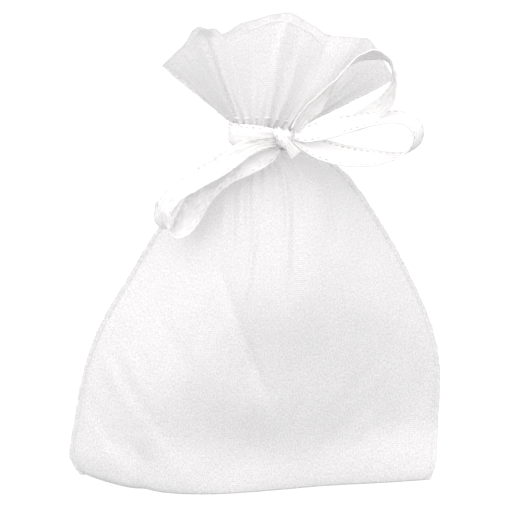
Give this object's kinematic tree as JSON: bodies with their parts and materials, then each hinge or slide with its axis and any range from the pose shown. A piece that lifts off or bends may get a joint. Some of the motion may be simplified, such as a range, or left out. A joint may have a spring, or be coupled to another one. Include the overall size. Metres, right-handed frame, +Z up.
{
  "type": "drawstring gift pouch",
  "caption": "Small sheer organza gift pouch, filled out and standing, gathered at the neck under a flared ruffle and tied with a satin ribbon bow.",
  "frame": {"origin": "centre of the pouch's footprint, on the surface it stands on", "axes": "+Z up, -Y out of the front where the bow is, +X to the right as seen from the front"},
  "size_m": [0.099, 0.0348, 0.1238],
  "materials": {
    "organza": "satin",
    "thread": "matte",
    "satin_ribbon": "satin"
  },
  "bodies": {
    "pouch": {"front_panel": "organza", "back_panel": "organza", "left_side_seam": "thread", "right_side_seam": "thread", "front_casing": "organza", "back_casing": "organza", "channel_stitching_lower": "thread", "channel_stitching_upper": "thread", "left_header_seam": "thread", "right_header_seam": "thread", "neck_ribbon": "satin_ribbon"},
    "front_ruffle": {"front_header": "organza", "front_mouth_hem": "thread"},
    "back_ruffle": {"back_header": "organza", "back_mouth_hem": "thread"},
    "bow": {"bow_knot": "satin_ribbon", "ribbon_end": "satin_ribbon"},
    "loop_upper_right": {"upper_right_loop": "satin_ribbon"},
    "loop_lower_right": {"lower_right_loop": "satin_ribbon"},
    "loop_left": {"left_loop": "satin_ribbon"}
  },
  "joints": [
    {"name": "front_ruffle_open", "type": "hinge", "parent": "pouch", "child": "front_ruffle", "pos_m": [0.0021, -0.0073, 0.0978], "axis": [1, 0, 0], "range_deg": [0, 6], "stiffness_Nm_per_rad": 0.002},
    {"name": "back_ruffle_open", "type": "hinge", "parent": "pouch", "child": "back_ruffle", "pos_m": [0.0021, 0.0073, 0.0978], "axis": [-1, 0, 0], "range_deg": [0, 25], "stiffness_Nm_per_rad": 0.002},
    {"name": "drawstring_pull", "type": "slide", "parent": "pouch", "child": "bow", "axis": [0, -1, 0], "range_m": [0, 0.01]},
    {"name": "upper_right_loop_lift", "type": "hinge", "parent": "bow", "child": "loop_upper_right", "pos_m": [0.011, -0.0126, 0.09695], "axis": [0, -1, 0], "range_deg": [0, 20], "stiffness_Nm_per_rad": 0.002},
    {"name": "lower_right_loop_drop", "type": "hinge", "parent": "bow", "child": "loop_lower_right", "pos_m": [0.011, -0.0126, 0.0942], "axis": [0, 1, 0], "range_deg": [0, 15], "stiffness_Nm_per_rad": 0.002},
    {"name": "left_loop_lift", "type": "hinge", "parent": "bow", "child": "loop_left", "pos_m": [0.0047, -0.0126, 0.0928], "axis": [0, 1, 0], "range_deg": [-6, 12], "stiffness_Nm_per_rad": 0.002}
  ]
}
